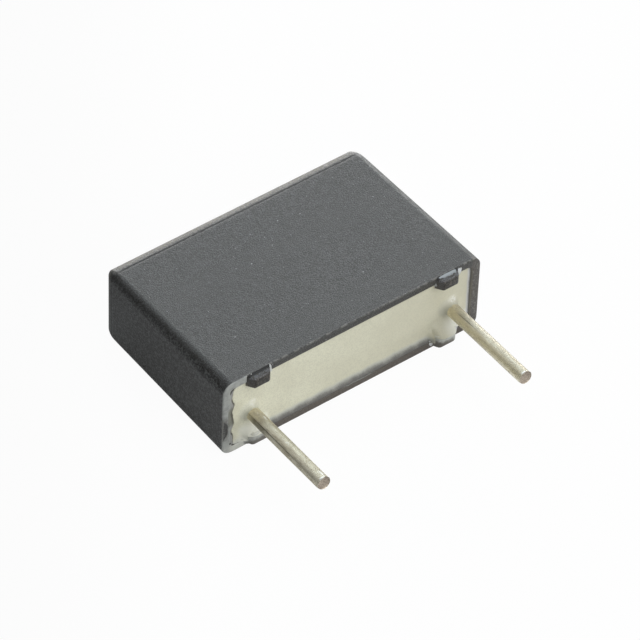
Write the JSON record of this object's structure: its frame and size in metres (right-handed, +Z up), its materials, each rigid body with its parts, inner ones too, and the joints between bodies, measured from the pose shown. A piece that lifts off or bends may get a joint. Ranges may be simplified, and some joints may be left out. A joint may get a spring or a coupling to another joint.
{
  "type": "film capacitor",
  "caption": "Boxed film capacitor: dark moulded case with rim standoffs, cast resin front and straight tinned wire leads for soldering into a board, lying on a broad side.",
  "frame": {"origin": "on the surface the part lies on, under the middle of its outline", "axes": "+X along the lead spacing, +Y from the lead tips to the closed back, +Z up through the thickness"},
  "size_m": [0.0128, 0.013, 0.0039],
  "materials": {
    "case_plastic": "dark grey moulded plastic with a fine matte grain",
    "casting_resin": "cream cast resin, satin, slightly uneven",
    "metallised_film": "wound metallised film, satin silver",
    "sprayed_metal": "rough sprayed metal",
    "tinned_wire": "tinned wire with drawing marks"
  },
  "bodies": {
    "root": {"case": "case_plastic", "resin_fill": "casting_resin", "film_winding": "metallised_film", "end_contact_left": "sprayed_metal", "end_contact_right": "sprayed_metal", "lead_left": "tinned_wire", "lead_right": "tinned_wire"}
  },
  "joints": []
}
